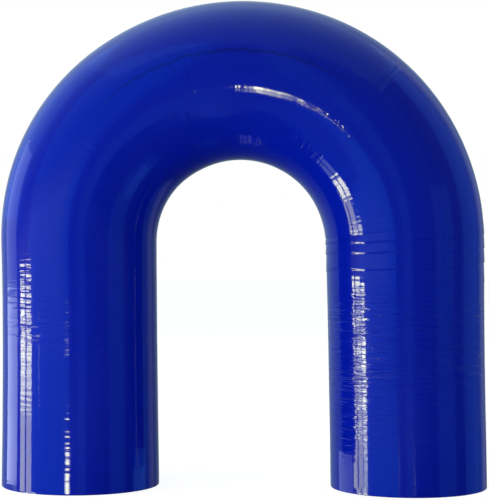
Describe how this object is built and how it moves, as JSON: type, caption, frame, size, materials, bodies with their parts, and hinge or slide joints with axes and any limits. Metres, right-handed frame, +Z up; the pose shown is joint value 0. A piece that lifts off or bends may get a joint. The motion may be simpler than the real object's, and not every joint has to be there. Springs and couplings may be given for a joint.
{
  "type": "silicone u-bend hose",
  "caption": "Moulded silicone hose bent through half a turn, with two straight legs and plain cut ends, to join two side by side pipe stubs.",
  "frame": {"origin": "on the floor, midway between the two cut ends that the hose stands on", "axes": "+X across the two legs, +Y through the hose's thickness, +Z up the legs to the bend"},
  "size_m": [0.266, 0.086, 0.267],
  "materials": {
    "blue_silicone": "gloss"
  },
  "bodies": {
    "root": {"u_bend_hose": "blue_silicone"}
  },
  "joints": []
}
